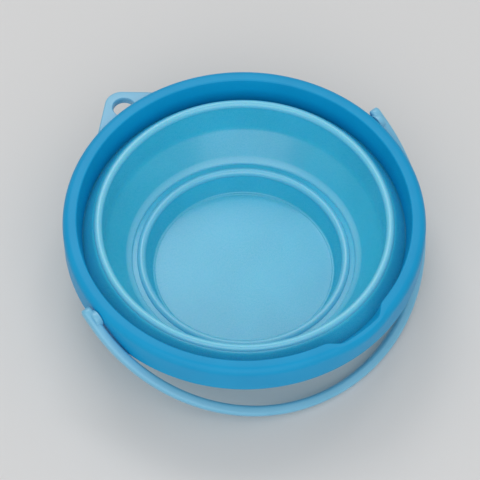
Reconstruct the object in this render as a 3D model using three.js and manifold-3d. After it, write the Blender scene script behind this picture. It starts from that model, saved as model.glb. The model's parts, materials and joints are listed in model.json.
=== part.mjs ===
// A collapsible bucket, folded flat: a rigid collar with a pouring spout and a hang tab, a soft wall that
// folds in two steps, a stiffened base, and a bail that lies beside it with its grip on the table.
// Millimetres, +Z up. The origin is the middle of the foot. +X runs along the bail's pivots, +Y points
// to the hang tab and -Y to the spout. Folded is the rest state: the wall's bands nest in each other.

import * as THREE from 'three';
import { mergeVertices } from 'three/addons/utils/BufferGeometryUtils.js';
import Module from 'manifold-3d';

const wasm = await Module();
wasm.setup();

// Fits
const seatGap = 0.3;            // between pieces that touch
const pegPlay = 0.3;            // round each peg of the bail

// Soft wall
const wallThickness = 2.4;
const foldThickness = 1.8;      // the two thin webs that turn inside out
const cupRimRadius = 3.8;       // rounded rim of the cup
const bandFootRadius = 1.8;     // rounded foot of the middle band
const crestRadius = 3.6;        // rounded crest of the middle band

// Base
const footHeight = 1.6;         // plate's foot, below its flange
const flangeThickness = 1.6;
const flangeReach = 3.5;        // flange beyond the foot, held by the soft heel
const footWidth = 9;
const centreRadius = 20;        // flat pad under the middle
const recessDepth = 0.8;        // hollow between the pad and the foot
const plateInset = 1;           // plate's edge inside the floor's edge
const heelLift = 0.5;           // soft heel's height above the table
const heelWidth = 3.4;
const floorRadius = 81;
const cupRun = 8.8;             // cup's wall, floor to rim
const cupRise = 20.7;
const cupBend = 3;              // setback of the bend from floor to wall

// Lower fold, middle band and upper fold, as radial runs and heights of the folded wall
const lowerReach = 12.8;        // cup's rim to the band's foot
const bandFootHeight = 6;       // middle of the band's foot above the table
const ridgeLean = 4;            // the band's lowest wall leans in
const ridgeRise = 21.1;
const landRun = 5.2;            // narrow land behind the ridge
const landRise = 3.2;
const slopeRun = 17.6;
const slopeRise = 22;
const bandRun = 3.8;            // upper wall, shoulder to crest
const bandRise = 27.9;
const landBend = 1.8;           // setback of the bends at both ends of the land
const shoulderBend = 4.6;
const upperReach = 12.5;        // crest to the web's end on the collar
const upperDrop = 12.2;

// Collar
const collarWall = 2.6;
const innerDepth = 25;          // inner wall, lip to foot
const innerDraft = 4;           // the inner wall leans out by this much
const anchorHeight = 1;         // upper fold's edge above the inner wall's foot
const lipWidth = 12.1;
const skirtDepth = 28;
const lipRounding = 6;          // outer edge of the lip
const lipEdge = 1.2;            // inner edge of the lip
const ribCount = 12;
const ribThickness = 2;
const ribDepth = 18;
const gripHeight = 4;           // soft edge up the hidden side of the inner wall
const gripThickness = 2;

// Pouring spout
const spoutAngle = 32;          // degrees of the lip that swell outward
const mouthAngle = 26;          // degrees of the channel's top
const throatAngle = 14;         // degrees of its full depth
const spoutReach = 3;
const channelDepth = 7;

// Bail
const pivotDrop = 10;           // pivots below the lip
const pivotSetback = 4;         // pivots behind the middle, towards the tab
const bailGap = 1.2;            // beside the skirt
const spoutGap = 1.5;           // past the spout
const bailWidth = 9;
const bailHeight = 9;
const gripSection = 12;         // height of the section at the grip
const gripAngle = 30;           // degrees of the arc with the full grip section
const gripTaper = 22;           // degrees from the grip to the plain section
const bailRounding = 3;
const armTail = 7.5;            // round ends of the arms, past the pivots
const pegRadius = 4;
const pegHeadRadius = 5.2;
const pegHeadLength = 2.2;
const pegSlot = 1.6;
const pegSlotDepth = 4.5;
const bossRadius = 7.5;         // bail's bosses against the skirt
const bearingRadius = 7;        // collar's thickening behind the skirt
const bearingDepth = 1.5;

// Hang tab
const tabReach = 30;            // beyond the skirt
const tabDrop = 20;             // below the lip
const tabHeight = 8;
const tabPlate = 2.4;
const tabWall = 2;
const tabTipRadius = 14.5;
const tabFlankAngle = 49;       // degrees of each side from the tab's axis
const eyeRadius = 9.5;
const eyeOffset = 11.5;         // hole's middle beyond the skirt
const tongueWidth = 30;
const tongueThickness = 3;
const barbReach = 2;
const barbLength = 2.6;

// Smoothness
const ringSteps = 52;
const collarSteps = 72;
const bailSteps = 36;
const padSteps = 24;
const roundSteps = 3;
const bendSteps = 2;
const beadSteps = 3;
const rollSteps = 7;            // round the cup's rim and the band's crest
const curveSteps = 10;
const roundingShare = 0.45;     // most of an edge that one rounding may take

// Heights and radii that follow from these sizes, from the base up
const plateTop = footHeight + flangeThickness;
const plateRadius = floorRadius - plateInset;
const footRadius = plateRadius - flangeReach;
const floorLine = plateTop + seatGap + wallThickness / 2;
const cupRim = new THREE.Vector2(floorRadius + cupRun, floorLine + cupRise);
const bandFoot = new THREE.Vector2(cupRim.x + lowerReach, bandFootHeight);
const lowerEnd = new THREE.Vector2(bandFoot.x - bandFootRadius - seatGap - foldThickness / 2, bandFoot.y);
const ridge = new THREE.Vector2(bandFoot.x - ridgeLean, bandFoot.y + ridgeRise);
const crease = new THREE.Vector2(ridge.x + landRun, ridge.y + landRise);
const shoulder = new THREE.Vector2(crease.x + slopeRun, crease.y + slopeRise);
const crest = new THREE.Vector2(shoulder.x + bandRun, shoulder.y + bandRise);
const upperEnd = new THREE.Vector2(crest.x + upperReach, crest.y - upperDrop);
const collarFoot = new THREE.Vector2(upperEnd.x + foldThickness / 2 + seatGap, upperEnd.y - anchorHeight);
const lipHeight = collarFoot.y + innerDepth;
const lipInner = collarFoot.x + innerDraft;
const lipRadius = lipInner + lipWidth;
const lipUnderside = lipHeight - collarWall;
const skirtBottom = lipHeight - skirtDepth;
const skirtInner = lipRadius - collarWall;
const pivotHeight = lipHeight - pivotDrop;
const gripTop = collarFoot.y + gripHeight;
const tabTop = lipHeight - tabDrop;
const tabMiddle = tabTop - tabHeight / 2;

// The radius of the collar's inner wall at a height.
const innerWallAt = (z) => collarFoot.x + innerDraft * (z - collarFoot.y) / innerDepth;

// Colours
const collarBlue = new THREE.MeshStandardMaterial({ color: 0x0b8cc6, roughness: 0.42, metalness: 0 });
const softBlue = new THREE.MeshStandardMaterial({ color: 0x6cb9dd, roughness: 0.62, metalness: 0 });
const paleBlue = new THREE.MeshStandardMaterial({ color: 0x86c9e6, roughness: 0.45, metalness: 0 });

// Outlines

// A closed outline from corners [r, z, rounding], each rounded by a short curve.
function roundedOutline(corners) {
  const outline = [];
  corners.forEach(([r, z, rounding], i) => {
    const corner = new THREE.Vector2(r, z);
    if (!rounding) {
      outline.push(corner);
      return;
    }
    const before = new THREE.Vector2(...corners.at(i - 1)).sub(corner);
    const after = new THREE.Vector2(...corners[(i + 1) % corners.length]).sub(corner);
    const shorter = Math.min(before.length(), after.length());
    const setback = Math.min(rounding, roundingShare * shorter);
    const start = before.setLength(setback).add(corner);
    const end = after.setLength(setback).add(corner);
    outline.push(...new THREE.QuadraticBezierCurve(start, corner, end).getPoints(roundSteps));
  });
  return outline;
}

// A place at a distance and an angle from a centre.
function placeFrom(centre, distance, angle) {
  return new THREE.Vector2(Math.cos(angle), Math.sin(angle)).multiplyScalar(distance).add(centre);
}

// A bead round the end of a wall, from its right side to its left as seen along the wall.
function endBead(end, along, radius, thickness) {
  const neck = Math.asin(Math.min(1, thickness / 2 / radius));
  const heading = along.angle();
  const sweep = 2 * (Math.PI - neck);
  const steps = radius > thickness ? rollSteps : beadSteps;
  return Array.from({ length: steps + 1 }, (_, i) => (
    placeFrom(end, radius, heading + sweep * (i / steps - 0.5))
  ));
}

// The bends of one side of a wall, offset to the right of its middle line.
function wallSide(line, offset) {
  return line.slice(1, -1).map((point, i) => {
    const before = point.clone().sub(line[i]).normalize();
    const after = line[i + 2].clone().sub(point).normalize();
    const normal = new THREE.Vector2(before.y + after.y, -before.x - after.x).normalize();
    return normal.multiplyScalar(offset / normal.dot(new THREE.Vector2(before.y, -before.x))).add(point);
  });
}

// The closed outline of a wall of even thickness along a middle line, with a bead at each end.
function wallOutline(line, thickness, startRadius, endRadius) {
  const first = line[0].clone().sub(line[1]);
  const last = line.at(-1).clone().sub(line.at(-2));
  return [
    ...wallSide(line, thickness / 2),
    ...endBead(line.at(-1), last, endRadius, thickness),
    ...wallSide(line, -thickness / 2).reverse(),
    ...endBead(line[0], first, startRadius, thickness),
  ];
}

// A bend of a middle line at a corner between two other places.
function bendAt(before, corner, after, setback) {
  const start = before.clone().sub(corner).setLength(setback).add(corner);
  const end = after.clone().sub(corner).setLength(setback).add(corner);
  return new THREE.QuadraticBezierCurve(start, corner, end).getPoints(bendSteps);
}

// Solids

// A ring turned about the Z axis from a closed outline, whose first column lies on -Y.
function ringOf(outline, steps = ringSteps) {
  return new THREE.LatheGeometry([...outline, outline[0]], steps).rotateX(Math.PI / 2);
}

// A disc turned about the Z axis from an outline that starts and ends on the axis.
function discOf(outline, steps = ringSteps) {
  return new THREE.LatheGeometry(outline, steps).rotateX(Math.PI / 2);
}

// A rod along X between two places, which may taper.
function rodOf(fromX, toX, fromRadius, toRadius = fromRadius) {
  const rod = new THREE.CylinderGeometry(fromRadius, toRadius, toX - fromX, padSteps);
  return rod.rotateZ(Math.PI / 2).translate((fromX + toX) / 2, 0, 0);
}

// A block between two corners.
function blockOf(x0, y0, z0, x1, y1, z1) {
  const block = new THREE.BoxGeometry(x1 - x0, y1 - y0, z1 - z0);
  return block.translate((x0 + x1) / 2, (y0 + y1) / 2, (z0 + z1) / 2);
}

// A plate from a shape in plan, between two heights.
function plateOf(shape, bottom, top) {
  const plate = new THREE.ExtrudeGeometry(shape, {
    depth: top - bottom,
    bevelEnabled: false,
    curveSegments: curveSteps,
  });
  return plate.translate(0, 0, bottom);
}

// Joins sections of as many points each into one closed skin with flat ends.
function loftOf(sections) {
  const count = sections[0].length;
  const faces = [];
  const last = (sections.length - 1) * count;
  for (let i = 0; i < sections.length - 1; i += 1) {
    for (let j = 0; j < count; j += 1) {
      const a = i * count + j;
      const b = i * count + (j + 1) % count;
      faces.push(a, b, b + count, a, b + count, a + count);
    }
  }
  for (let j = 1; j < count - 1; j += 1) {
    faces.push(0, j + 1, j);
    faces.push(last, last + j, last + j + 1);
  }
  const skin = new THREE.BufferGeometry().setFromPoints(sections.flat());
  return skin.setIndex(faces);
}

// A geometry as a solid that can be joined and cut.
function solidOf(geometry) {
  const bare = geometry.clone();
  bare.deleteAttribute('normal');
  bare.deleteAttribute('uv');
  const welded = mergeVertices(bare);
  const corners = welded.index.array;
  const faces = [];
  for (let i = 0; i < corners.length; i += 3) {
    const [a, b, c] = corners.slice(i, i + 3);
    if (a !== b && b !== c && c !== a) faces.push(a, b, c);
  }
  const vertProperties = Float32Array.from(welded.attributes.position.array);
  return new wasm.Manifold(new wasm.Mesh({ numProp: 3, vertProperties, triVerts: Uint32Array.from(faces) }));
}

// A solid as a geometry again.
function geometryOf(solid) {
  const mesh = solid.getMesh();
  const geometry = new THREE.BufferGeometry();
  geometry.setAttribute('position', new THREE.BufferAttribute(mesh.vertProperties, 3));
  geometry.setIndex(new THREE.BufferAttribute(mesh.triVerts, 1));
  return geometry;
}

// Base: the plate that stiffens the floor, and the soft cup that wraps its flange

function basePlate() {
  return discOf([
    new THREE.Vector2(0, 0),
    new THREE.Vector2(centreRadius, 0),
    new THREE.Vector2(centreRadius, recessDepth),
    new THREE.Vector2(footRadius - footWidth, recessDepth),
    new THREE.Vector2(footRadius - footWidth, 0),
    new THREE.Vector2(footRadius, 0),
    new THREE.Vector2(footRadius, footHeight),
    new THREE.Vector2(plateRadius, footHeight),
    new THREE.Vector2(plateRadius, plateTop),
    new THREE.Vector2(0, plateTop),
  ]);
}

function baseCup() {
  const half = wallThickness / 2;
  const middle = new THREE.Vector2(0, floorLine);
  const corner = new THREE.Vector2(floorRadius, floorLine);
  const line = [middle, ...bendAt(middle, corner, cupRim, cupBend), cupRim];
  const cup = discOf([
    new THREE.Vector2(0, floorLine - half),
    ...wallSide(line, half),
    ...endBead(cupRim, cupRim.clone().sub(corner), cupRimRadius, wallThickness),
    ...wallSide(line, -half).reverse(),
    new THREE.Vector2(0, floorLine + half),
  ]);
  const heelInner = plateRadius + seatGap;
  const hookTop = footHeight - seatGap;
  const heel = ringOf([
    new THREE.Vector2(footRadius + seatGap, heelLift),
    new THREE.Vector2(heelInner + heelWidth - seatGap, heelLift),
    new THREE.Vector2(heelInner + heelWidth, floorLine),
    new THREE.Vector2(heelInner, floorLine),
    new THREE.Vector2(heelInner, hookTop),
    new THREE.Vector2(footRadius + seatGap, hookTop),
  ]);
  return geometryOf(solidOf(cup).add(solidOf(heel)));
}

// Soft wall: two webs that turn inside out, and the stiff band between them

// A web that leaves the outside of a rolled edge at a tangent and runs down to its other end.
function foldWeb(roll, rollRadius, end) {
  const half = foldThickness / 2;
  const reach = rollRadius + seatGap + half;
  const away = end.clone().sub(roll);
  const start = placeFrom(roll, reach, away.angle() + Math.acos(reach / away.length()));
  return ringOf(wallOutline([start, end], foldThickness, half, half));
}

function middleBand() {
  const line = [
    bandFoot,
    ...bendAt(bandFoot, ridge, crease, landBend),
    ...bendAt(ridge, crease, shoulder, landBend),
    ...bendAt(crease, shoulder, crest, shoulderBend),
    crest,
  ];
  return ringOf(wallOutline(line, wallThickness, bandFootRadius, crestRadius));
}

// The soft edge that wraps the foot of the collar's inner wall and carries the upper web.
function wallGrip() {
  const underside = collarFoot.y - seatGap;
  const bottom = underside - wallThickness;
  const outsideAt = (z) => innerWallAt(z) + collarWall + seatGap;
  return ringOf(roundedOutline([
    [collarFoot.x, bottom, 0],
    [outsideAt(underside) + gripThickness, bottom, wallThickness / 2],
    [outsideAt(gripTop) + gripThickness, gripTop, 0],
    [outsideAt(gripTop), gripTop, 0],
    [outsideAt(underside), underside, 0],
    [collarFoot.x, underside, 0],
  ]), collarSteps);
}

// Collar: a channel section turned about the axis, swollen into a spout, with ribs and bearings inside

// How far the lip leans out at an angle from the spout's middle, as radii of the inner wall and the skirt.
function spoutPush(angle) {
  const degrees = Math.abs(THREE.MathUtils.radToDeg(angle));
  const swell = Math.cos(Math.PI * Math.min(1, degrees * 2 / spoutAngle)) / 2 + 0.5;
  const cut = 1 - THREE.MathUtils.smoothstep(degrees, throatAngle / 2, mouthAngle / 2);
  return { skirt: spoutReach * swell, wall: channelDepth * cut };
}

function leanIntoSpout(ring) {
  const place = ring.attributes.position;
  const lipMiddle = lipRadius - lipWidth / 2;
  for (let i = 0; i < place.count; i += 1) {
    const radius = Math.hypot(place.getX(i), place.getY(i));
    const push = spoutPush(Math.atan2(place.getX(i), -place.getY(i)));
    const onSkirt = radius > lipMiddle;
    const bottom = onSkirt ? skirtBottom : gripTop;
    const share = Math.max(0, place.getZ(i) - bottom) / (lipHeight - bottom);
    const grown = 1 + (onSkirt ? push.skirt : push.wall) * share / radius;
    place.setXY(i, place.getX(i) * grown, place.getY(i) * grown);
  }
  return ring;
}

function collarRib(turn) {
  const middle = collarWall / 2;
  const bottom = lipUnderside - ribDepth;
  const cornerCut = lipRounding / 3;    // keeps the rib inside the lip's rounded edge
  const shape = new THREE.Shape([
    new THREE.Vector2(innerWallAt(bottom) + middle, bottom),
    new THREE.Vector2(lipRadius - middle, bottom),
    new THREE.Vector2(lipRadius - middle, lipUnderside + middle - cornerCut),
    new THREE.Vector2(lipRadius - middle - cornerCut, lipUnderside + middle),
    new THREE.Vector2(innerWallAt(lipUnderside) + middle, lipUnderside + middle),
  ]);
  const rib = new THREE.ExtrudeGeometry(shape, { depth: ribThickness, bevelEnabled: false });
  return rib.translate(0, 0, -ribThickness / 2).rotateX(Math.PI / 2).rotateZ(turn);
}

function rimCollar() {
  const channel = ringOf(roundedOutline([
    [lipRadius, skirtBottom, 0],
    [lipRadius, lipHeight, lipRounding],
    [lipInner, lipHeight, lipEdge],
    [innerWallAt(gripTop), gripTop, 0],
    [collarFoot.x, collarFoot.y, 0],
    [collarFoot.x + collarWall, collarFoot.y, 0],
    [innerWallAt(gripTop) + collarWall, gripTop, 0],
    [innerWallAt(lipUnderside) + collarWall, lipUnderside, 0],
    [skirtInner, lipUnderside, 0],
    [skirtInner, skirtBottom, 0],
  ]), collarSteps);
  let collar = solidOf(leanIntoSpout(channel));
  const ribStep = 2 * Math.PI / ribCount;
  for (let i = 0; i < ribCount; i += 1) {
    collar = collar.add(solidOf(collarRib((i + 0.5) * ribStep)));
  }
  const bearingEnd = skirtInner - bearingDepth;
  for (const turn of [0, Math.PI]) {
    const bearing = rodOf(bearingEnd, lipRadius - collarWall / 2, bearingRadius);
    const hole = rodOf(bearingEnd - seatGap, lipRadius + seatGap, pegRadius + pegPlay);
    collar = collar.add(solidOf(bearing.rotateZ(turn).translate(0, pivotSetback, pivotHeight)));
    collar = collar.subtract(solidOf(hole.rotateZ(turn).translate(0, pivotSetback, pivotHeight)));
  }
  const halfWidth = tongueWidth / 2 + seatGap;
  const halfHeight = tongueThickness / 2 + seatGap;
  const cutFrom = Math.sqrt(skirtInner ** 2 - halfWidth ** 2) - seatGap;
  const window = blockOf(
    -halfWidth, cutFrom, tabMiddle - halfHeight,
    halfWidth, lipRadius + seatGap, tabMiddle + halfHeight,
  );
  return geometryOf(collar.subtract(solidOf(window)));
}

// Hang tab: a hollow-backed plate with an eye, whose barbed tongue snaps through the skirt

// The tab in plan, drawn in from its edge by a wall.
function tabShape(inset) {
  const root = lipRadius + seatGap + inset;
  const tip = new THREE.Vector2(0, lipRadius + tabReach - tabTipRadius);
  const tipRadius = tabTipRadius - inset;
  const flank = THREE.MathUtils.degToRad(tabFlankAngle);
  const normal = new THREE.Vector2(Math.cos(flank), Math.sin(flank));
  const along = new THREE.Vector2(normal.y, -normal.x);
  const touch = tip.clone().addScaledVector(normal, tipRadius);
  const toward = touch.dot(along);
  const run = -toward - Math.sqrt(toward ** 2 + root ** 2 - touch.lengthSq());
  const corner = touch.clone().addScaledVector(along, run);
  const shape = new THREE.Shape();
  shape.moveTo(corner.x, corner.y);
  shape.lineTo(touch.x, touch.y);
  shape.absarc(tip.x, tip.y, tipRadius, flank, Math.PI - flank, false);
  shape.lineTo(-corner.x, corner.y);
  shape.absarc(0, 0, root, Math.PI - corner.angle(), corner.angle(), true);
  return shape;
}

function circleShape(radius) {
  return new THREE.Shape().absarc(0, lipRadius + eyeOffset, radius, 0, 2 * Math.PI, false);
}

function hangTab() {
  const tabBottom = tabTop - tabHeight;
  const block = solidOf(plateOf(tabShape(0), tabBottom, tabTop));
  const hollow = solidOf(plateOf(tabShape(tabWall), tabBottom - seatGap, tabTop - tabPlate));
  const eyelet = solidOf(plateOf(circleShape(eyeRadius + tabWall), tabBottom, tabTop));
  const eye = solidOf(plateOf(circleShape(eyeRadius), tabBottom - seatGap, tabTop + seatGap));
  const half = tongueWidth / 2;
  const behindSkirt = Math.sqrt(skirtInner ** 2 - (half + barbReach) ** 2) - seatGap;
  const low = tabMiddle - tongueThickness / 2;
  const high = tabMiddle + tongueThickness / 2;
  const rootLine = Math.sqrt((lipRadius + seatGap + tabWall) ** 2 - half ** 2);
  const tongue = solidOf(blockOf(-half, behindSkirt - barbLength, low, half, rootLine, high));
  const barbs = solidOf(blockOf(
    -half - barbReach, behindSkirt - barbLength, low,
    half + barbReach, behindSkirt, high,
  ));
  const shell = block.subtract(hollow).add(block.intersect(eyelet));
  return geometryOf(shell.add(tongue).add(barbs).subtract(eye));
}

// Bail: a flat-sided rod bent to half an oval, with a taller grip, round ends, bosses and split pegs

const bailHalfSpan = lipRadius + bailGap + bailWidth / 2;
const bailReach = lipRadius + spoutReach + spoutGap + bailWidth / 2;
const bailLength = bailReach + pivotSetback;

// The rod's section, as [outward, upward] points, for a height of its own.
function bailSection(height) {
  const corners = [[1, -1], [1, 1], [-1, 1], [-1, -1]];
  return corners.flatMap(([side, up], i) => Array.from({ length: roundSteps }, (_, j) => {
    const angle = Math.PI / 2 * (i - 1 + j / (roundSteps - 1));
    return [
      side * (bailWidth / 2 - bailRounding) + bailRounding * Math.cos(angle),
      up * (height / 2 - bailRounding) + bailRounding * Math.sin(angle),
    ];
  }));
}

// The rod's sections from one end to the other, in the bail's own plane with its pivots on X.
function bailSections() {
  const stations = Array.from({ length: bailSteps + 1 }, (_, i) => Math.PI * i / bailSteps);
  const sections = stations.map((angle) => {
    const x = bailHalfSpan * Math.cos(angle);
    const y = -pivotSetback - bailReach * Math.sin(angle);
    const outward = new THREE.Vector2(bailReach * Math.cos(angle), -bailHalfSpan * Math.sin(angle));
    outward.normalize();
    const fromGrip = Math.abs(THREE.MathUtils.radToDeg(angle) - 90) - gripAngle / 2;
    const plain = THREE.MathUtils.smoothstep(fromGrip, 0, gripTaper);
    return bailSection(THREE.MathUtils.lerp(gripSection, bailHeight, plain)).map(([out, up]) => (
      new THREE.Vector3(x + outward.x * out, y + outward.y * out, up)
    ));
  });
  const toEnd = (section) => section.map((point) => new THREE.Vector3(point.x, armTail, point.z));
  return [toEnd(sections[0]), ...sections, toEnd(sections.at(-1))];
}

// The round end of the +X arm, with softened edges.
function armEnd() {
  const half = bailWidth / 2;
  const radius = bailHeight / 2;
  const soft = bailRounding / 2;
  const end = discOf([
    new THREE.Vector2(0, -half),
    new THREE.Vector2(radius - soft, -half),
    new THREE.Vector2(radius, -half + soft),
    new THREE.Vector2(radius, half - soft),
    new THREE.Vector2(radius - soft, half),
    new THREE.Vector2(0, half),
  ], padSteps);
  return end.rotateY(Math.PI / 2).translate(bailHalfSpan, armTail, 0);
}

// The boss, peg and split snap head on the +X pivot.
function bailPeg() {
  const bossEnd = lipRadius + seatGap;
  const headStart = skirtInner - bearingDepth - seatGap;
  const pegEnd = headStart - pegHeadLength;
  const boss = rodOf(bossEnd, bailHalfSpan, bossRadius);
  const peg = rodOf(headStart - seatGap, bailHalfSpan, pegRadius);
  const head = rodOf(pegEnd, headStart, pegRadius - pegPlay, pegHeadRadius);
  const slot = blockOf(
    pegEnd - seatGap, -pegSlot / 2, -pegHeadRadius - seatGap,
    pegEnd + pegSlotDepth, pegSlot / 2, pegHeadRadius + seatGap,
  );
  return solidOf(boss).add(solidOf(peg)).add(solidOf(head)).subtract(solidOf(slot));
}

function bailHandle() {
  const rod = solidOf(loftOf(bailSections()));
  const end = solidOf(armEnd()).add(bailPeg());
  return geometryOf(rod.add(end).add(end.mirror([1, 0, 0])));
}

// The tilt at which the grip's lower edge lies just above the table.
function bailTilt() {
  const along = bailLength + bailWidth / 2 - bailRounding;
  const below = gripSection / 2 - bailRounding;
  const drop = pivotHeight - seatGap - bailRounding;
  return Math.asin(drop / Math.hypot(along, below)) - Math.atan2(below, along);
}

// Assembly

function piece(name, geometry, material) {
  const mesh = new THREE.Mesh(geometry, material);
  mesh.name = name;
  return mesh;
}

const bail = piece('bail_handle', bailHandle(), paleBlue);
bail.position.set(0, pivotSetback, pivotHeight);
bail.rotation.x = bailTilt();

const bucket = new THREE.Group();
bucket.add(
  piece('base_plate', basePlate(), paleBlue),
  piece('base_cup', baseCup(), softBlue),
  piece('lower_fold_web', foldWeb(cupRim, cupRimRadius, lowerEnd), softBlue),
  piece('middle_band', middleBand(), softBlue),
  piece('upper_fold_web', foldWeb(crest, crestRadius, upperEnd), softBlue),
  piece('wall_grip', wallGrip(), softBlue),
  piece('rim_collar', rimCollar(), collarBlue),
  piece('hang_tab', hangTab(), paleBlue),
  bail,
);

export default bucket;
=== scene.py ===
import json
import math

import bmesh
import bpy
from mathutils import Matrix, Quaternion, Vector


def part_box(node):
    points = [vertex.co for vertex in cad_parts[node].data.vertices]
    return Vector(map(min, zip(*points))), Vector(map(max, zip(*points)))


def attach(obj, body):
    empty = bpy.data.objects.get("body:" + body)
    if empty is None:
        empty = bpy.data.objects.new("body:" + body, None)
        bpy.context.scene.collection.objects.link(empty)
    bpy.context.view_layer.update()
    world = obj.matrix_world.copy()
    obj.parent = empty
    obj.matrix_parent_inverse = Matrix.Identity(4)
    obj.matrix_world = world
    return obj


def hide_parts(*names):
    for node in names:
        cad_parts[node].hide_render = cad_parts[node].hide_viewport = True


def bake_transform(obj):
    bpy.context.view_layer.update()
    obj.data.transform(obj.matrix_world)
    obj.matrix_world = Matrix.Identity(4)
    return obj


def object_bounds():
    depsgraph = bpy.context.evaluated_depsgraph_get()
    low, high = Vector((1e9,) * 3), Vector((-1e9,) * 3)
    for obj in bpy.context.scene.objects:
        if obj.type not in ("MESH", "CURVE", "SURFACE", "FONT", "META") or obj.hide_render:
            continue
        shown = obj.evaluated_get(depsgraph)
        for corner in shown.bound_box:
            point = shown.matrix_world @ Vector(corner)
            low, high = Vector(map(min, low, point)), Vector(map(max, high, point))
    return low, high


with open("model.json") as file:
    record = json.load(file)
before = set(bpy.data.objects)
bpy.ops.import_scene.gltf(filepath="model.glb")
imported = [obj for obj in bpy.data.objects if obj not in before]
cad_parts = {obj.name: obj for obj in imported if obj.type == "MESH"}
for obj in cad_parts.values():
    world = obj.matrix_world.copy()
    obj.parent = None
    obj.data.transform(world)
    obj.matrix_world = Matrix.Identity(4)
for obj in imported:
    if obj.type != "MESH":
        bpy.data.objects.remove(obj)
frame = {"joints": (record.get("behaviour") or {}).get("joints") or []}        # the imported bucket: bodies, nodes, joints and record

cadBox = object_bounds()
mm = 0.001               # outlines are drawn in millimetres, pieces are finished in metres
fullTurn = 2 * math.pi


def nodeBox(node):
    # lowest and highest corner of a solid, in millimetres
    low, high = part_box(node)
    return Vector(low) / mm, Vector(high) / mm


def jointNamed(name):
    return next(joint for joint in frame["joints"] if joint["name"] == name)


# modelling helpers

def roundCorner(bm, verts, setback, segments):
    bmesh.ops.bevel(bm, geom=verts, offset=setback, offset_type="OFFSET", affect="VERTICES",
                    segments=segments, profile=0.5, material=-1, clamp_overlap=True)


def softenEdges(bm, edges, width, segments):
    bmesh.ops.bevel(bm, geom=edges, offset=width, offset_type="OFFSET", affect="EDGES",
                    segments=segments, profile=0.5, material=-1, clamp_overlap=True)


def tidyShell(bm):
    bmesh.ops.remove_doubles(bm, verts=bm.verts, dist=0.001)
    bmesh.ops.recalc_face_normals(bm, faces=bm.faces)
    return bm


def turnOutline(corners, steps, segments=6, longest=4.0):
    # corners are (radius, height, rounding); a pair of corners on the axis closes a disc
    bm = bmesh.new()
    verts = [bm.verts.new((radius, 0, height)) for radius, height, rounding in corners]
    bm.faces.new(verts)
    for vert, (radius, height, rounding) in zip(verts, corners):
        if rounding:
            roundCorner(bm, [vert], rounding, segments)
    bmesh.ops.delete(bm, geom=bm.faces[:], context="FACES_ONLY")
    onAxis = [edge for edge in bm.edges if max(abs(vert.co.x) for vert in edge.verts) < 0.001]
    bmesh.ops.delete(bm, geom=onAxis, context="EDGES")
    for edge in bm.edges[:]:
        cuts = int(edge.calc_length() / longest)
        if cuts:
            bmesh.ops.subdivide_edges(bm, edges=[edge], cuts=cuts)
    bmesh.ops.spin(bm, geom=bm.verts[:] + bm.edges[:], cent=(0, 0, 0), axis=(0, 0, 1), dvec=(0, 0, 0),
                   angle=fullTurn, steps=steps, use_merge=True)
    return tidyShell(bm)


def rolledEdge(radius, height, roll, wall, lean, step=18):
    # the round end of a leaning wall: outline points from its inner side over to its outer side
    neck = math.degrees(math.asin(wall / 2 / roll))
    first = lean + 180 - neck
    sweep = 360 - 2 * neck
    count = round(sweep / step)
    turns = [math.radians(first - sweep * index / count) for index in range(count + 1)]
    return [(radius + roll * math.cos(turn), height + roll * math.sin(turn), 0) for turn in turns]


def addBlock(bm, low, high):
    size = Vector(high) - Vector(low)
    middle = (Vector(high) + Vector(low)) / 2
    place = Matrix.Translation(middle) @ Matrix.Diagonal((*size, 1))
    return bmesh.ops.create_cube(bm, size=1, matrix=place)["verts"]


def addRod(bm, fromX, toX, radius, segments=64):
    place = Matrix.Translation(((fromX + toX) / 2, 0, 0)) @ Matrix.Rotation(math.pi / 2, 4, "Y")
    made = bmesh.ops.create_cone(bm, cap_ends=True, segments=segments, radius1=radius, radius2=radius,
                                 depth=toX - fromX, matrix=place)
    return made["verts"]


def addObject(name, bm):
    bmesh.ops.scale(bm, vec=(mm, mm, mm), verts=bm.verts)
    mesh = bpy.data.meshes.new(name)
    bm.to_mesh(mesh)
    bm.free()
    piece = bpy.data.objects.new(name, mesh)
    bpy.context.scene.collection.objects.link(piece)
    return piece


def joinShapes(piece, operation, bm):
    # joins or cuts a piece with another closed shape
    tool = addObject("tool", bm)
    step = piece.modifiers.new("shape", "BOOLEAN")
    step.operation = operation
    step.solver = "EXACT"
    step.object = tool
    shaped = bpy.data.meshes.new_from_object(piece.evaluated_get(bpy.context.evaluated_depsgraph_get()))
    piece.modifiers.clear()
    piece.data = shaped
    bpy.data.objects.remove(tool)


def finishPiece(piece, material, slot, *nodes, sharp=38):
    mesh = piece.data
    mesh.name = piece.name
    mesh.materials.clear()
    mesh.materials.append(material)
    mesh.polygons.foreach_set("material_index", [0] * len(mesh.polygons))
    mesh.polygons.foreach_set("use_smooth", [True] * len(mesh.polygons))
    mesh.set_sharp_from_angle(angle=math.radians(sharp))
    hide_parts(*nodes)
    print("  piece", piece.name, len(mesh.polygons), "faces")
    return piece


# finishes

def startMaterial(name):
    material = bpy.data.materials.new(name)
    material.use_nodes = True
    return material, material.node_tree.nodes, material.node_tree.links


def addNoise(nodes, links, scale, detail):
    place = nodes.new("ShaderNodeTexCoord")
    noise = nodes.new("ShaderNodeTexNoise")
    noise.inputs["Scale"].default_value = scale
    noise.inputs["Detail"].default_value = detail
    links.new(place.outputs["Object"], noise.inputs["Vector"])
    return noise.outputs["Fac"]


def addRamp(nodes, links, factor, low, high, lowAt=0.35, highAt=0.65):
    ramp = nodes.new("ShaderNodeValToRGB")
    ramp.color_ramp.elements[0].position = lowAt
    ramp.color_ramp.elements[0].color = low
    ramp.color_ramp.elements[1].position = highAt
    ramp.color_ramp.elements[1].color = high
    links.new(factor, ramp.inputs["Fac"])
    return ramp.outputs["Color"]


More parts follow.
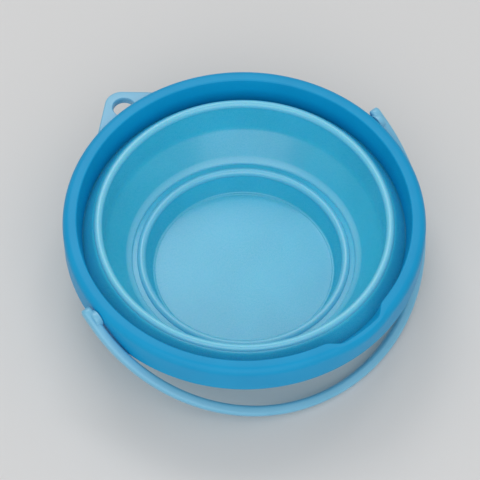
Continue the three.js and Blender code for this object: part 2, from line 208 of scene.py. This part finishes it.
def addRange(nodes, links, factor, low, high):
    spread = nodes.new("ShaderNodeMapRange")
    spread.inputs["From Min"].default_value = 0.3
    spread.inputs["From Max"].default_value = 0.7
    spread.inputs["To Min"].default_value = low
    spread.inputs["To Max"].default_value = high
    links.new(factor, spread.inputs["Value"])
    return spread.outputs["Result"]


def fromScreen(red, green, blue):
    # a colour as a screen shows it, 0 to 255, as the linear colour a shader takes
    def channel(value):
        value = value / 255
        return value / 12.92 if value <= 0.04045 else ((value + 0.055) / 1.055) ** 2.4
    return channel(red), channel(green), channel(blue), 1


def addPaintedRollHighlight(nodes, links, colour, look):
    # painted highlight: the thick rolled edges are painted paler than the thin wall, standing in for the
    # highlight they catch from the lamps; they lie at two heights on the folded bucket
    place = nodes.new("ShaderNodeTexCoord")
    split = nodes.new("ShaderNodeSeparateXYZ")
    links.new(place.outputs["Object"], split.inputs["Vector"])
    ramp = nodes.new("ShaderNodeValToRGB")
    height = nodes.new("ShaderNodeMapRange")
    height.inputs["From Max"].default_value = look["rollHighlightSpan"] * mm
    links.new(split.outputs["Z"], height.inputs["Value"])
    links.new(height.outputs["Result"], ramp.inputs["Fac"])
    stops = ramp.color_ramp.elements
    while len(stops) < len(look["rollHighlightStops"]):
        stops.new(1)
    for stop, (level, share) in zip(stops, look["rollHighlightStops"]):
        stop.position = level / look["rollHighlightSpan"]
        stop.color = (share, share, share, 1)
    mix = nodes.new("ShaderNodeMix")
    mix.data_type = "RGBA"
    # the pale colour mixed in here is a painted highlight
    plain, pale = mix.inputs[6:8]
    pale.default_value = fromScreen(*look["rollHighlightColour"])
    links.new(ramp.outputs["Color"], mix.inputs["Factor"])
    links.new(colour, plain)
    return mix.outputs[2]


def mouldedFinish(name, look):
    # moulded plastic: faint cloudiness in the colour, fine grain in the gloss and the surface
    material, nodes, links = startMaterial(name)
    shader = nodes["Principled BSDF"]
    cloud = addNoise(nodes, links, look["cloudScale"], 3)
    grain = addNoise(nodes, links, look["grainScale"], 4)
    low = fromScreen(*look["deepColour"])
    high = fromScreen(*look["lightColour"])
    colour = addRamp(nodes, links, cloud, low, high)
    # painted highlight on the rolled edges, chosen by height
    if "rollHighlightStops" in look:
        colour = addPaintedRollHighlight(nodes, links, colour, look)
    links.new(colour, shader.inputs["Base Color"])
    links.new(addRange(nodes, links, grain, *look["roughness"]), shader.inputs["Roughness"])
    bump = nodes.new("ShaderNodeBump")
    bump.inputs["Strength"].default_value = look["grainStrength"]
    bump.inputs["Distance"].default_value = look["grainDepth"] * mm
    links.new(grain, bump.inputs["Height"])
    links.new(bump.outputs["Normal"], shader.inputs["Normal"])
    shader.inputs["Specular IOR Level"].default_value = look["specular"]
    shader.inputs["Subsurface Weight"].default_value = look["glow"]
    shader.inputs["Subsurface Scale"].default_value = look["glowDepth"] * mm
    return material


collarLook = {
    "deepColour": (0, 152, 206), "lightColour": (2, 157, 211),
    "cloudScale": 22, "grainScale": 2600, "grainStrength": 0.12, "grainDepth": 0.05,
    "roughness": (0.38, 0.46), "specular": 0.28, "glow": 0.0, "glowDepth": 0.0,
}
softLook = {
    "deepColour": (58, 187, 219), "lightColour": (64, 193, 225),
    "cloudScale": 16, "grainScale": 1900, "grainStrength": 0.16, "grainDepth": 0.06,
    "roughness": (0.24, 0.32), "specular": 0.8, "glow": 0.3, "glowDepth": 4.0,
}
# the soft finish with a painted highlight on its rolled edges
rollHighlightLook = {
    **softLook, "rollHighlightColour": (112, 205, 234), "rollHighlightSpan": 100,
    "rollHighlightStops": [(22, 0), (24.5, 1), (29.5, 1), (32, 0), (77, 0), (79.5, 1)],
}
paleLook = {
    "deepColour": (112, 187, 221), "lightColour": (120, 192, 226),
    "cloudScale": 22, "grainScale": 2600, "grainStrength": 0.12, "grainDepth": 0.05,
    "roughness": (0.28, 0.36), "specular": 0.7, "glow": 0.0, "glowDepth": 0.0,
}
collarFinish = mouldedFinish("collarPlastic", collarLook)
softFinish = mouldedFinish("softElastomer", softLook)
# material carrying the painted highlight on the rolled edges
rollHighlightFinish = mouldedFinish("elastomerPaintedRollHighlight", rollHighlightLook)
paleFinish = mouldedFinish("palePlastic", paleLook)
print("finishes made")


# base: the stiff plate and the soft cup round it

basePlate = {
    "steps": 160,
    "padRadius": 20, "recess": 0.8, "footWidth": 9, "flangeReach": 3.5, "footHeight": 1.6,
}


def makeBasePlate(sizes):
    high = nodeBox("base_plate")[1]
    foot = high.x - sizes["flangeReach"]
    bm = turnOutline([
        (0, 0, 0),
        (sizes["padRadius"], 0, 0.4),
        (sizes["padRadius"], sizes["recess"], 0.3),
        (foot - sizes["footWidth"], sizes["recess"], 0.3),
        (foot - sizes["footWidth"], 0, 0.4),
        (foot, 0, 0.5),
        (foot, sizes["footHeight"], 0.2),
        (high.x, sizes["footHeight"], 0.4),
        (high.x, high.z, 0.5),
        (0, high.z, 0),
    ], sizes["steps"], segments=3, longest=8)
    piece = finishPiece(addObject("basePlate", bm), paleFinish, "pale_plastic", "base_plate")
    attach(piece, "base")


softCup = {
    "steps": 220, "wall": 2.4,
    "floorTop": 5.9, "panelEdge": 78.3, "panelStep": 0.5, "floorEdge": 80.4, "floorBend": 1.2,
    "rimRadius": 89.8, "rimHeight": 25.4, "rimRoll": 3.8, "wallLean": 67,
    "heelTop": 6.9, "heelInner": 76.9, "heelSeat": 80.3, "heelOuter": 83.5, "heelDraft": 0.3,
    "heelLift": 0.5, "hookTop": 1.3,
}


def makeSoftCup(sizes):
    under = sizes["floorTop"] - sizes["wall"]
    ledge = sizes["floorTop"] + sizes["panelStep"]
    rim = rolledEdge(sizes["rimRadius"], sizes["rimHeight"], sizes["rimRoll"], sizes["wall"],
                     sizes["wallLean"])
    bm = turnOutline([
        (0, sizes["floorTop"], 0),
        (sizes["panelEdge"], sizes["floorTop"], 0.5),
        (sizes["panelEdge"] + sizes["panelStep"], ledge, 0.4),
        (sizes["floorEdge"], ledge, sizes["floorBend"]),
        *rim,
        (sizes["heelOuter"] - sizes["heelDraft"], sizes["heelTop"], 1),
        (sizes["heelOuter"], sizes["heelLift"], 1),
        (sizes["heelInner"], sizes["heelLift"], 0.2),
        (sizes["heelInner"], sizes["hookTop"], 0.2),
        (sizes["heelSeat"], sizes["hookTop"], 0.2),
        (sizes["heelSeat"], under, 0.3),
        (0, under, 0),
    ], sizes["steps"])
    # the cup's rim roll carries the painted highlight
    piece = finishPiece(addObject("softCup", bm), rollHighlightFinish, "soft_wall", "base_cup")
    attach(piece, "base")


# fold webs: the thin rings that turn inside out on the real bucket, made here as fixed rings not attached to
# any body

lowerWeb = {
    "top": 26.6, "bottom": 6.4, "outline": [
        (92, 26.6, 0), (97.8, 26.2, 0.4), (100.4, 6.6, 0),
        (98.8, 6.4, 0), (96.1, 24.6, 0.6), (92, 25, 0),
    ],
}
upperWeb = {
    "top": 81.6, "bottom": 66.6, "outline": [
        (127.2, 81.6, 0), (129.6, 80.6, 2), (139.2, 66.4, 0),
        (137.7, 65.4, 0), (128.6, 78.8, 2), (127.2, 79.8, 0),
    ],
}
webShape = {"steps": 220, "longest": 0.8}


def makeWeb(name, node, sizes):
    bm = turnOutline(sizes["outline"], webShape["steps"], longest=webShape["longest"])
    piece = finishPiece(addObject(name, bm), softFinish, "soft_wall", node)
    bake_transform(piece)


# middle band: foot, ridge, land, slope, shoulder, upper wall and crest

softBand = {
    "steps": 260, "wall": 2.4,
    "footRadius": 102.6, "footHeight": 6, "footRoll": 1.8,
    "ridgeRadius": 97.4, "ridgeTop": 27.8, "creaseRadius": 103, "creaseHeight": 31.2,
    "shoulderRadius": 120.2, "shoulderHeight": 52.7, "shoulderBend": 3.5,
    "crestRadius": 125.2, "crestHeight": 80.2, "crestRoll": 3.6, "wallLean": 82.2,
}


def makeSoftBand(sizes):
    wall = sizes["wall"]
    roll = sizes["footRoll"]
    foot = sizes["footRadius"]
    bottom = sizes["footHeight"] - roll
    crest = rolledEdge(sizes["crestRadius"], sizes["crestHeight"], sizes["crestRoll"], wall,
                       sizes["wallLean"])
    # up the inner face, round the crest and back down the outer face, about a wall's thickness away
    bm = turnOutline([
        (foot - roll, bottom, 1.6),
        (sizes["ridgeRadius"], sizes["ridgeTop"], 1.7),
        (sizes["creaseRadius"], sizes["creaseHeight"], 0.9),
        (sizes["shoulderRadius"], sizes["shoulderHeight"], sizes["shoulderBend"]),
        *crest,
        (sizes["shoulderRadius"] + wall, sizes["shoulderHeight"] - wall / 3, sizes["shoulderBend"]),
        (sizes["creaseRadius"] + wall * 0.7, sizes["creaseHeight"] - wall * 0.75, 1.5),
        (sizes["ridgeRadius"] + wall * 1.05, sizes["ridgeTop"] - wall * 0.55, 1.2),
        (foot + roll - 0.9, bottom + 2 * roll + 0.4, 0.5),
        (foot + roll, bottom + 2 * roll - 0.2, 1),
        (foot + roll, bottom, 1.6),
    ], sizes["steps"], longest=3)
    # the band's ridge and crest carry the painted highlight
    piece = finishPiece(addObject("softBand", bm), rollHighlightFinish, "soft_wall", "middle_band")
    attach(piece, "mid")


# collar: a channel ring with a pouring spout, ribs, bearings and a window for the tab

collarShape = {
    "steps": 288,
    "wall": 2.6, "lipWidth": 12.1, "lipRounding": 6, "lipEdge": 1.2,
    "innerDepth": 25, "innerDraft": 4, "skirtDepth": 28, "gripHeight": 4,
    "ribs": 12, "ribThickness": 2, "ribDepth": 18, "ribRise": 0.1,
    "bearingRadius": 7, "bearingDepth": 1.5, "boreRadius": 4.3,
    "windowHalfWidth": 15.3, "windowHalfHeight": 1.8,
    "spoutAngle": 16, "mouthAngle": 13, "throatAngle": 7, "spoutReach": 3, "channelDepth": 7,
}


def smoothStep(value, start, end):
    share = min(1, max(0, (value - start) / (end - start)))
    return share * share * (3 - 2 * share)


def leanIntoSpout(bm, sizes, top, skirtBottom, channelBottom, lipStart, lipEnd):
    for vert in bm.verts:
        radius = math.hypot(vert.co.x, vert.co.y)
        angle = abs(math.degrees(math.atan2(vert.co.x, -vert.co.y)))
        if angle > sizes["spoutAngle"]:
            continue
        swell = sizes["spoutReach"] * (0.5 + 0.5 * math.cos(math.pi * angle / sizes["spoutAngle"]))
        channel = sizes["channelDepth"] * (1 - smoothStep(angle, sizes["throatAngle"], sizes["mouthAngle"]))
        inside = channel * max(0, vert.co.z - channelBottom) / (top - channelBottom)
        outside = swell * max(0, vert.co.z - skirtBottom) / (top - skirtBottom)
        share = min(1, max(0, (radius - lipStart) / (lipEnd - lipStart)))
        vert.co.xy *= 1 + (inside + (outside - inside) * share) / radius


def makeCollar(sizes):
    high = nodeBox("rim_collar")[1]
    wall = sizes["wall"]
    outer = high.x
    top = high.z
    foot = top - sizes["innerDepth"]
    skirtBottom = top - sizes["skirtDepth"]
    lipInner = outer - sizes["lipWidth"]
    under = top - wall

    def innerAt(height):
        return lipInner - sizes["innerDraft"] * (top - height) / (top - foot)

    bm = turnOutline([
        (outer, skirtBottom, 0.9),
        (outer, top, sizes["lipRounding"]),
        (lipInner, top, sizes["lipEdge"]),
        (innerAt(foot), foot, 0.8),
        (innerAt(foot) + wall, foot, 0.6),
        (innerAt(under) + wall, under, 1.2),
        (outer - wall, under, 1.2),
        (outer - wall, skirtBottom, 0.9),
    ], sizes["steps"])
    channelBottom = foot + sizes["gripHeight"]
    leanIntoSpout(bm, sizes, top, skirtBottom, channelBottom, lipInner + wall, outer - wall)
    piece = addObject("rimCollar", bm)

    ribs = bmesh.new()
    ribBottom = under - sizes["ribDepth"]
    ribInner = innerAt(ribBottom) + wall / 2
    ribRise = sizes["ribRise"]        # into the lip, short of its rounded edge
    for index in range(sizes["ribs"]):
        half = sizes["ribThickness"] / 2
        verts = addBlock(ribs, (ribInner, -half, ribBottom), (outer - wall / 2, half, under + ribRise))
        for vert in verts:
            if vert.co.x < lipInner + wall and vert.co.z > under:
                vert.co.x += innerAt(under + ribRise) - innerAt(ribBottom)
        turn = Matrix.Rotation(fullTurn * (index + 0.5) / sizes["ribs"], 3, "Z")
        bmesh.ops.rotate(ribs, cent=(0, 0, 0), matrix=turn, verts=verts)
    joinShapes(piece, "UNION", ribs)

    # bearings for the bail's pegs, inside the skirt
    pivot = Vector(jointNamed("bail_swing")["pos_m"]) / mm
    bearingEnd = outer - wall - sizes["bearingDepth"]
    for side in (-1, 1):
        bearing = bmesh.new()
        addRod(bearing, bearingEnd, outer - wall / 2, sizes["bearingRadius"])
        bmesh.ops.rotate(bearing, cent=(0, 0, 0), matrix=Matrix.Rotation(math.pi * (1 - side) / 2, 3, "Z"),
                         verts=bearing.verts)
        bmesh.ops.translate(bearing, vec=pivot, verts=bearing.verts)
        joinShapes(piece, "UNION", bearing)
    bore = bmesh.new()
    for side in (-1, 1):
        ends = sorted((side * (bearingEnd - 1), side * (outer + 1)))
        verts = addRod(bore, *ends, sizes["boreRadius"])
        bmesh.ops.translate(bore, vec=pivot, verts=verts)
    joinShapes(piece, "DIFFERENCE", bore)

    # window for the tab's tongue
    tabLow, tabHigh = nodeBox("hang_tab")
    tabMiddle = (tabLow.z + tabHigh.z) / 2
    window = bmesh.new()
    width = sizes["windowHalfWidth"]
    height = sizes["windowHalfHeight"]
    addBlock(window, (-width, outer - 2 * wall, tabMiddle - height), (width, outer + 1, tabMiddle + height))
    joinShapes(piece, "DIFFERENCE", window)
    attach(finishPiece(piece, collarFinish, "collar_plastic", "rim_collar"), "rim")


# grip: the soft edge round the foot of the collar's inner wall

softGrip = {
    "steps": 240, "edgeInner": 137.6, "thickness": 2, "seatGap": 0.3, "outerDraft": 0.6, "innerDraft": 0.7,
}


def makeSoftGrip(sizes):
    low, high = nodeBox("wall_grip")
    seat = nodeBox("rim_collar")[1].z - collarShape["innerDepth"] - sizes["seatGap"]
    bm = turnOutline([
        (sizes["edgeInner"], low.z, 1),
        (high.x - sizes["outerDraft"], low.z, 1.2),
        (high.x, high.z, 0.6),
        (high.x - sizes["thickness"], high.z, 0.6),
        (high.x - sizes["innerDraft"] - sizes["thickness"], seat, 0.2),
        (sizes["edgeInner"], seat, 0.6),
    ], sizes["steps"])
    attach(finishPiece(addObject("softGrip", bm), softFinish, "soft_wall", "wall_grip"), "rim")


# hang tab: a hollow-backed plate with an eye, and a barbed tongue through the skirt

tabShape = {
    "seatGap": 0.3, "flank": 49, "tipRadius": 14.5, "wall": 2, "plate": 2.4, "edge": 1.3,
    "eyeRadius": 9.5, "eyeOffset": 11.5, "eyeFlare": 1.1, "eyeSteps": 96,
    "tongueHalf": 15, "tongueHeight": 3, "barb": 2, "barbLength": 2.6,
}


def tabBlock(sizes, root, tip, inset, bottom, top):
    # a plan with two flanks, a rounded tip and a root that follows the skirt, raised to its height
    bm = bmesh.new()
    flank = math.radians(sizes["flank"])
    radius = sizes["tipRadius"] - inset
    apex = tip - sizes["tipRadius"] + radius / math.sin(flank)
    slope = 1 / math.tan(flank)
    a = 1 + slope ** 2
    b = -2 * apex * slope
    c = apex ** 2 - (root + inset) ** 2
    corner = (-b - math.sqrt(b * b - 4 * a * c)) / (2 * a)
    left = bm.verts.new((-corner, apex - corner * slope, bottom))
    right = bm.verts.new((corner, apex - corner * slope, bottom))
    point = bm.verts.new((0, apex, bottom))
    bm.faces.new((left, right, point))
    roundCorner(bm, [point], radius / math.tan(flank), 16)
    made = bmesh.ops.subdivide_edges(bm, edges=[bm.edges.get((left, right))], cuts=20)
    for vert in (item for item in made["geom_inner"] if isinstance(item, bmesh.types.BMVert)):
        vert.co.y = math.sqrt((root + inset) ** 2 - vert.co.x ** 2)
    grown = bmesh.ops.extrude_face_region(bm, geom=bm.faces[:])["geom"]
    verts = [item for item in grown if isinstance(item, bmesh.types.BMVert)]
    bmesh.ops.translate(bm, vec=(0, 0, top - bottom), verts=verts)
    return tidyShell(bm)


def makeHangTab(sizes):
    low, high = nodeBox("hang_tab")
    outer = nodeBox("rim_collar")[1].x
    root = outer + sizes["seatGap"]
    eye = outer + sizes["eyeOffset"]
    block = tabBlock(sizes, root, high.y, 0, low.z, high.z)
    topEdges = [edge for edge in block.edges
                if len(edge.link_faces) == 2 and all(abs(vert.co.z - high.z) < 0.01 for vert in edge.verts)
                and max(vert.co.xy.length for vert in edge.verts) > root + 0.05]
    softenEdges(block, topEdges, sizes["edge"], 4)
    piece = addObject("hangTab", block)

    def eyeTurn(corners):
        bm = turnOutline(corners, sizes["eyeSteps"], segments=4)
        bmesh.ops.translate(bm, vec=(0, eye, 0), verts=bm.verts)
        return bm

    # hollow back, with a ring left round the eye
    ceiling = high.z - sizes["plate"]
    hollow = addObject("hollow", tabBlock(sizes, root, high.y, sizes["wall"], low.z - 1, ceiling))
    ring = sizes["eyeRadius"] + sizes["wall"]
    joinShapes(hollow, "DIFFERENCE", eyeTurn([
        (0, low.z - 2, 0), (ring, low.z - 2, 0), (ring, high.z, 0), (0, high.z, 0),
    ]))
    cutter = bmesh.new()
    cutter.from_mesh(hollow.data)
    bmesh.ops.scale(cutter, vec=(1 / mm, 1 / mm, 1 / mm), verts=cutter.verts)
    bpy.data.objects.remove(hollow)
    joinShapes(piece, "DIFFERENCE", cutter)

    # tongue through the skirt, with barbs across its end
    tongue = bmesh.new()
    half = sizes["tongueHalf"]
    middle = (low.z + high.z) / 2
    bottom = middle - sizes["tongueHeight"] / 2
    top = middle + sizes["tongueHeight"] / 2
    rootLine = math.sqrt((root + sizes["wall"]) ** 2 - half ** 2)
    addBlock(tongue, (-half, low.y + 0.1, bottom), (half, rootLine, top))
    joinShapes(piece, "UNION", tongue)
    barbs = bmesh.new()
    addBlock(barbs, (-half - sizes["barb"], low.y, bottom),
             (half + sizes["barb"], low.y + sizes["barbLength"], top))
    joinShapes(piece, "UNION", barbs)
    flare = sizes["eyeFlare"]
    joinShapes(piece, "DIFFERENCE", eyeTurn([
        (0, low.z - 1, 0),
        (sizes["eyeRadius"] + 2 * flare, low.z - 1, 0),
        (sizes["eyeRadius"] + flare, low.z, 0),
        (sizes["eyeRadius"], low.z + flare, 0.9),
        (sizes["eyeRadius"], high.z - flare, 0.9),
        (sizes["eyeRadius"] + flare, high.z, 0),
        (sizes["eyeRadius"] + 2 * flare, high.z + 1, 0),
        (0, high.z + 1, 0),
    ]))
    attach(finishPiece(piece, paleFinish, "pale_plastic", "hang_tab"), "rim")


# bail: a flat-sided rod bent to half an oval, with round ends, bosses and split pegs

bailShape = {
    "stations": 96, "halfWidth": 4.4, "halfHeight": 4.5, "gripHalfHeight": 6, "rounding": 3,
    "gripAngle": 15, "gripTaper": 22, "gap": 1.2, "spoutReach": 3, "spoutGap": 1.5, "width": 9,
    "tail": 7.5, "tailSteps": 8, "tailClose": 0.94, "tailTaper": 0.35,
    "bossRadius": 7.5, "bossShare": 0.55, "pegRadius": 4, "pegSteps": 72,
    "headRadius": 5.2, "headLength": 2.2, "headTip": 3.7, "bossGap": 0.3, "bearingEnd": 4.1,
    "slot": 1.6, "slotDepth": 4.5, "slotReach": 9,
}


def bailStation(sizes, span, reach, setback, angle):
    # the rod's frame at an angle along the oval: outward, upward and along, with the grip's extra height
    outward = Vector((reach * math.cos(angle), -span * math.sin(angle), 0)).normalized()
    along = Vector((-outward.y, outward.x, 0))
    fromGrip = abs(math.degrees(angle) - 90) - sizes["gripAngle"]
    plain = smoothStep(fromGrip, 0, sizes["gripTaper"])
    height = sizes["gripHalfHeight"] + (sizes["halfHeight"] - sizes["gripHalfHeight"]) * plain
    up = Vector((0, 0, height / sizes["halfHeight"]))
    place = Matrix((outward, up, along)).transposed().to_4x4()
    place.translation = (span * math.cos(angle), -setback - reach * math.sin(angle), 0)
    return place


def bailTail(sizes, last, setback):
    # stations that run on past the pivot and close in to a round end
    count = sizes["tailSteps"]
    turns = [sizes["tailClose"] * math.pi / 2 * index / count for index in range(count + 1)]
    end = setback + sizes["tail"]
    return [Matrix.Translation((0, end + sizes["halfHeight"] * math.sin(turn), 0)) @ last
            @ Matrix.Diagonal((1 - sizes["tailTaper"] * (1 - math.cos(turn)), math.cos(turn), 1, 1))
            for turn in turns]


def makeBail(sizes):
    joint = jointNamed("bail_swing")
    pivot = Vector(joint["pos_m"]) / mm
    outer = nodeBox("rim_collar")[1].x
    span = outer + sizes["gap"] + sizes["width"] / 2
    reach = outer + sizes["spoutReach"] + sizes["spoutGap"] + sizes["width"] / 2
    setback = pivot.y
    count = sizes["stations"]
    stations = [bailStation(sizes, span, reach, setback, math.pi * i / count) for i in range(count + 1)]
    stations = bailTail(sizes, stations[0], setback)[::-1] + stations + bailTail(sizes, stations[-1], setback)

    bm = bmesh.new()
    wide = sizes["halfWidth"]
    tall = sizes["halfHeight"]
    verts = [bm.verts.new((x * wide, y * tall, 0)) for x, y in ((-1, -1), (1, -1), (1, 1), (-1, 1))]
    bm.faces.new(verts)
    roundCorner(bm, verts, sizes["rounding"], 6)
    bmesh.ops.transform(bm, matrix=stations[0], verts=bm.verts)
    edges = bm.edges[:]
    for before, after in zip(stations, stations[1:]):
        grown = bmesh.ops.extrude_edge_only(bm, edges=edges)["geom"]
        edges = [item for item in grown if isinstance(item, bmesh.types.BMEdge)]
        verts = [item for item in grown if isinstance(item, bmesh.types.BMVert)]
        bmesh.ops.transform(bm, matrix=after @ before.inverted(), verts=verts)
    bmesh.ops.edgeloop_fill(bm, edges=edges)
    piece = addObject("bailHandle", tidyShell(bm))

    # boss and split peg, turned about the pivot's axis
    bossEnd = span + sizes["width"] * (sizes["bossShare"] - 0.5)
    headStart = outer - sizes["bearingEnd"] - sizes["bossGap"]
    pegEnd = headStart - sizes["headLength"]
    end = turnOutline([
        (0, pegEnd, 0),
        (sizes["headTip"], pegEnd, 0.4),
        (sizes["headRadius"], headStart, 0.3),
        (sizes["pegRadius"], headStart, 0),
        (sizes["pegRadius"], outer + sizes["bossGap"], 0),
        (sizes["bossRadius"], outer + sizes["bossGap"], 0.5),
        (sizes["bossRadius"], bossEnd, 1.6),
        (0, bossEnd, 0),
    ], sizes["pegSteps"], segments=4)
    bmesh.ops.rotate(end, cent=(0, 0, 0), matrix=Matrix.Rotation(math.pi / 2, 3, "Y"), verts=end.verts)
    slotted = addObject("slotted", end)
    slot = bmesh.new()
    half = sizes["slot"] / 2
    across = sizes["slotReach"]
    addBlock(slot, (pegEnd - 1, -half, -across), (pegEnd + sizes["slotDepth"], half, across))
    joinShapes(slotted, "DIFFERENCE", slot)
    ends = bmesh.new()
    for side in (0, 1):
        before = set(ends.verts)
        ends.from_mesh(slotted.data)
        turn = Matrix.Rotation(math.pi * side, 3, "Z")
        added = [vert for vert in ends.verts if vert not in before]
        bmesh.ops.rotate(ends, cent=(0, 0, 0), matrix=turn, verts=added)
    bmesh.ops.scale(ends, vec=(1 / mm, 1 / mm, 1 / mm), verts=ends.verts)
    joinShapes(piece, "UNION", ends)
    bpy.data.objects.remove(slotted)

    # lay the bail down until its grip is at the height of the solid's lowest point
    length = reach + setback
    along = length + sizes["width"] / 2 - sizes["rounding"]
    below = sizes["gripHalfHeight"] - sizes["rounding"]
    drop = pivot.z - sizes["bossGap"] - sizes["rounding"]
    tilt = math.asin(drop / math.hypot(along, below)) - math.atan2(below, along)
    lay = Matrix.Translation(pivot * mm) @ Matrix.Rotation(tilt, 4, "X")
    piece.data.transform(lay)
    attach(finishPiece(piece, paleFinish, "pale_plastic", "bail_handle"), "bail")


print("making pieces")
makeBasePlate(basePlate)
makeSoftCup(softCup)
makeWeb("lowerWeb", "lower_fold_web", lowerWeb)
makeSoftBand(softBand)
makeWeb("upperWeb", "upper_fold_web", upperWeb)
makeSoftGrip(softGrip)
makeCollar(collarShape)
makeHangTab(tabShape)
makeBail(bailShape)


# stage: a plain pale floor, soft light from the front and behind, a camera at the photograph's angle

stage = {
    "floorSize": 8, "floorColour": (222, 222, 222), "floorRoughness": 0.7, "floorSpecular": 0.2,
    "worldColour": (255, 255, 255), "worldLight": 0.5,
    "keyPlace": (0.85, 0.35, 1.85), "keySize": 0.4, "keyPower": 2,
    "windowPlace": (0.45, 1.08, 1.65), "windowSize": 0.9, "windowPower": 7,
    "fillPlace": (-1.02, -1.18, 1.4), "fillSize": 2.6, "fillPower": 22,
    "azimuth": -41, "elevation": 56.35, "roll": 1, "distance": 1.8,
    "sensor": 36, "lens": 158.6, "shift": (-0.0093, -0.0542),
}


def aim(thing, target):
    thing.rotation_mode = "QUATERNION"
    thing.rotation_quaternion = (Vector(target) - thing.location).to_track_quat("-Z", "Y")


def makeFloor(sizes):
    bm = bmesh.new()
    bmesh.ops.create_grid(bm, x_segments=1, y_segments=1, size=sizes["floorSize"] / 2 / mm)
    floor = addObject("floor", bm)
    material, nodes, links = startMaterial("paleFloor")
    shader = nodes["Principled BSDF"]
    shader.inputs["Base Color"].default_value = fromScreen(*sizes["floorColour"])
    shader.inputs["Roughness"].default_value = sizes["floorRoughness"]
    shader.inputs["Specular IOR Level"].default_value = sizes["floorSpecular"]
    floor.data.materials.append(material)


def makeWorld(sizes):
    world = bpy.data.worlds.new("studio")
    bpy.context.scene.world = world
    world.use_nodes = True
    background = world.node_tree.nodes["Background"]
    background.inputs["Color"].default_value = fromScreen(*sizes["worldColour"])
    background.inputs["Strength"].default_value = sizes["worldLight"]


def makeLamp(name, place, size, power):
    data = bpy.data.lights.new(name, "AREA")
    data.size = size
    data.energy = power
    lamp = bpy.data.objects.new(name, data)
    bpy.context.scene.collection.objects.link(lamp)
    lamp.location = place
    aim(lamp, (0, 0, 0))


def makeCamera(sizes):
    data = bpy.data.cameras.new("camera")
    data.sensor_width = sizes["sensor"]
    data.lens = sizes["lens"]
    data.shift_x, data.shift_y = sizes["shift"]
    camera = bpy.data.objects.new("camera", data)
    bpy.context.scene.collection.objects.link(camera)
    target = Vector((0, 0, cadBox[1].z))
    turn = math.radians(sizes["azimuth"])
    rise = math.radians(sizes["elevation"])
    back = Vector((math.sin(turn) * math.cos(rise), -math.cos(turn) * math.cos(rise), math.sin(rise)))
    camera.location = target + back * sizes["distance"]
    aim(camera, target)
    camera.rotation_quaternion @= Quaternion((0, 0, 1), math.radians(sizes["roll"]))
    bpy.context.scene.camera = camera


makeFloor(stage)
makeWorld(stage)
makeLamp("keyLight", stage["keyPlace"], stage["keySize"], stage["keyPower"])
makeLamp("windowLight", stage["windowPlace"], stage["windowSize"], stage["windowPower"])
makeLamp("fillLight", stage["fillPlace"], stage["fillSize"], stage["fillPower"])
makeCamera(stage)
bpy.context.scene.view_settings.view_transform = "Standard"
print("stage set")
